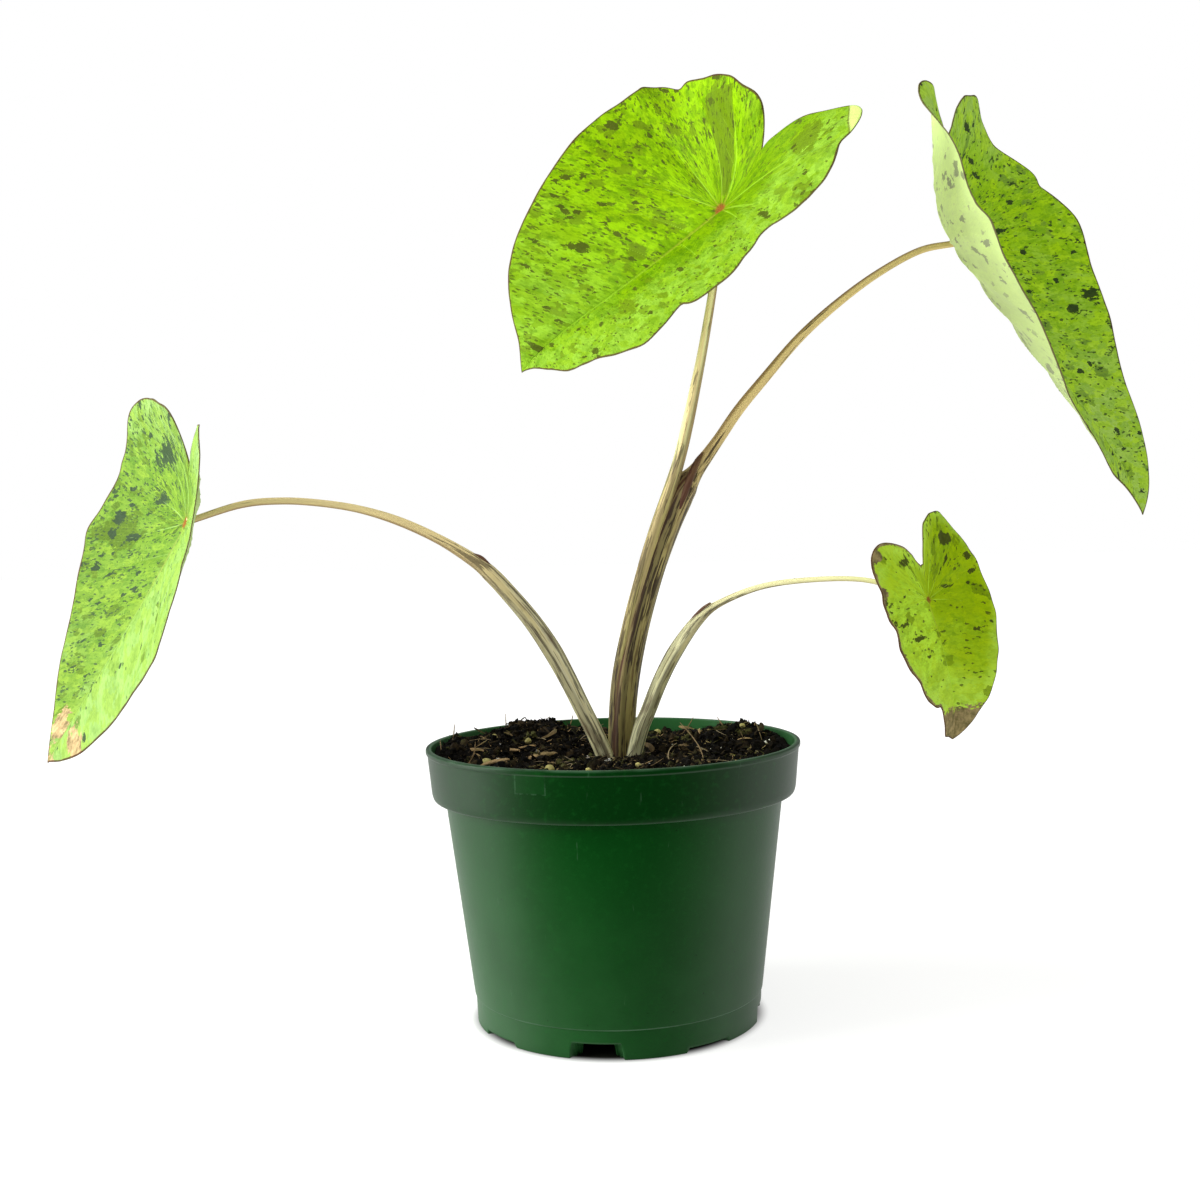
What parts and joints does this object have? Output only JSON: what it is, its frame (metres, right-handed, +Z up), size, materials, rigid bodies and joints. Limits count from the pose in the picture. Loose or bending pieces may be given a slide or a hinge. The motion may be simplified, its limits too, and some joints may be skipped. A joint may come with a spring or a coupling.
{
  "type": "potted mojito elephant ear",
  "caption": "Potted aroid with heart-shaped, dark-flecked lime green leaves on arching sheathed stems, in a round dark green nursery pot filled with bark mix.",
  "frame": {"origin": "on the floor, on the axis of the pot, at the middle of its base", "axes": "+Z up along the axis of the pot, +X towards the viewer's right, where the second tallest leaf hangs, +Y away from the viewer"},
  "size_m": [0.4469, 0.1591, 0.383],
  "materials": {
    "pot_plastic": "satin, finely speckled dark green moulding",
    "potting_mix": "rough, damp peat and bark mix",
    "corm_skin": "rough, fibrous",
    "stem_skin": "satin, streaked lengthwise",
    "leaf_blade": "satin, flecked with dark green"
  },
  "bodies": {
    "root": {"pot": "pot_plastic", "soil": "potting_mix", "corm": "corm_skin", "petiole_a": "stem_skin", "petiole_b": "stem_skin", "petiole_c": "stem_skin", "petiole_d": "stem_skin", "leaf_a": "leaf_blade", "leaf_b": "leaf_blade", "leaf_c": "leaf_blade", "leaf_d": "leaf_blade"}
  },
  "joints": []
}
